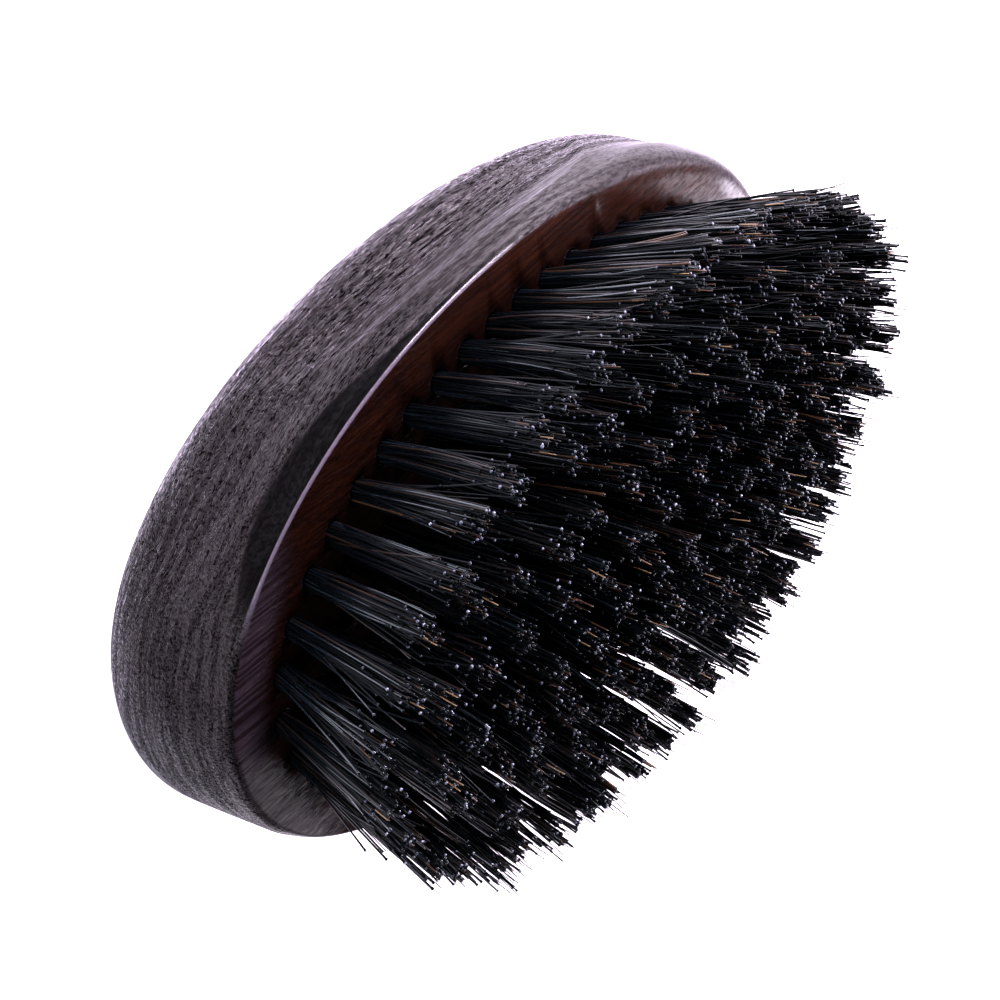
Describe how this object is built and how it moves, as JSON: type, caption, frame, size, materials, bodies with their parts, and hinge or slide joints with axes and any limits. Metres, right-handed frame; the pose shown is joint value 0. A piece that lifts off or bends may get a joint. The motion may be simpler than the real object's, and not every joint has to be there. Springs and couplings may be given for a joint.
{
  "type": "beard brush",
  "caption": "Oval palm brush for beards: a dark hardwood body with a finger scoop in each long side and a domed field of stiff black bristle tufts.",
  "frame": {"origin": "middle of the flat back that the brush rests on", "axes": "+X along the brush's long axis, +Y across it, +Z out of the bristle face, the way the bristles point"},
  "size_m": [0.117, 0.0646, 0.0453],
  "materials": {
    "stained_wood": "dark-stained open-grained hardwood under a thin satin lacquer; the bristle face is redder and duller",
    "black_bristle": "black boar bristle with a faint cool sheen, a few brown and tan hairs, and paler cut ends"
  },
  "bodies": {
    "root": {"wood_body": "stained_wood", "rim_tuft_01": "black_bristle", "rim_tuft_02": "black_bristle", "rim_tuft_03": "black_bristle", "rim_tuft_04": "black_bristle", "rim_tuft_05": "black_bristle", "rim_tuft_06": "black_bristle", "rim_tuft_07": "black_bristle", "rim_tuft_08": "black_bristle", "rim_tuft_09": "black_bristle", "rim_tuft_10": "black_bristle", "rim_tuft_11": "black_bristle", "rim_tuft_12": "black_bristle", "rim_tuft_13": "black_bristle", "rim_tuft_14": "black_bristle", "rim_tuft_15": "black_bristle", "rim_tuft_16": "black_bristle", "rim_tuft_17": "black_bristle", "rim_tuft_18": "black_bristle", "rim_tuft_19": "black_bristle", "rim_tuft_20": "black_bristle", "rim_tuft_21": "black_bristle", "rim_tuft_22": "black_bristle", "rim_tuft_23": "black_bristle", "rim_tuft_24": "black_bristle", "rim_tuft_25": "black_bristle", "rim_tuft_26": "black_bristle", "rim_tuft_27": "black_bristle", "rim_tuft_28": "black_bristle", "rim_tuft_29": "black_bristle", "rim_tuft_30": "black_bristle", "rim_tuft_31": "black_bristle", "rim_tuft_32": "black_bristle", "rim_tuft_33": "black_bristle", "rim_tuft_34": "black_bristle", "rim_tuft_35": "black_bristle", "rim_tuft_36": "black_bristle", "rim_tuft_37": "black_bristle", "rim_tuft_38": "black_bristle", "rim_tuft_39": "black_bristle", "rim_tuft_40": "black_bristle", "rim_tuft_41": "black_bristle", "rim_tuft_42": "black_bristle", "rim_tuft_43": "black_bristle", "rim_tuft_44": "black_bristle", "bristle_row_1": "black_bristle", "bristle_row_2": "black_bristle", "bristle_row_3": "black_bristle", "bristle_row_4": "black_bristle", "bristle_row_5": "black_bristle", "bristle_row_6": "black_bristle", "bristle_row_7": "black_bristle"}
  },
  "joints": []
}
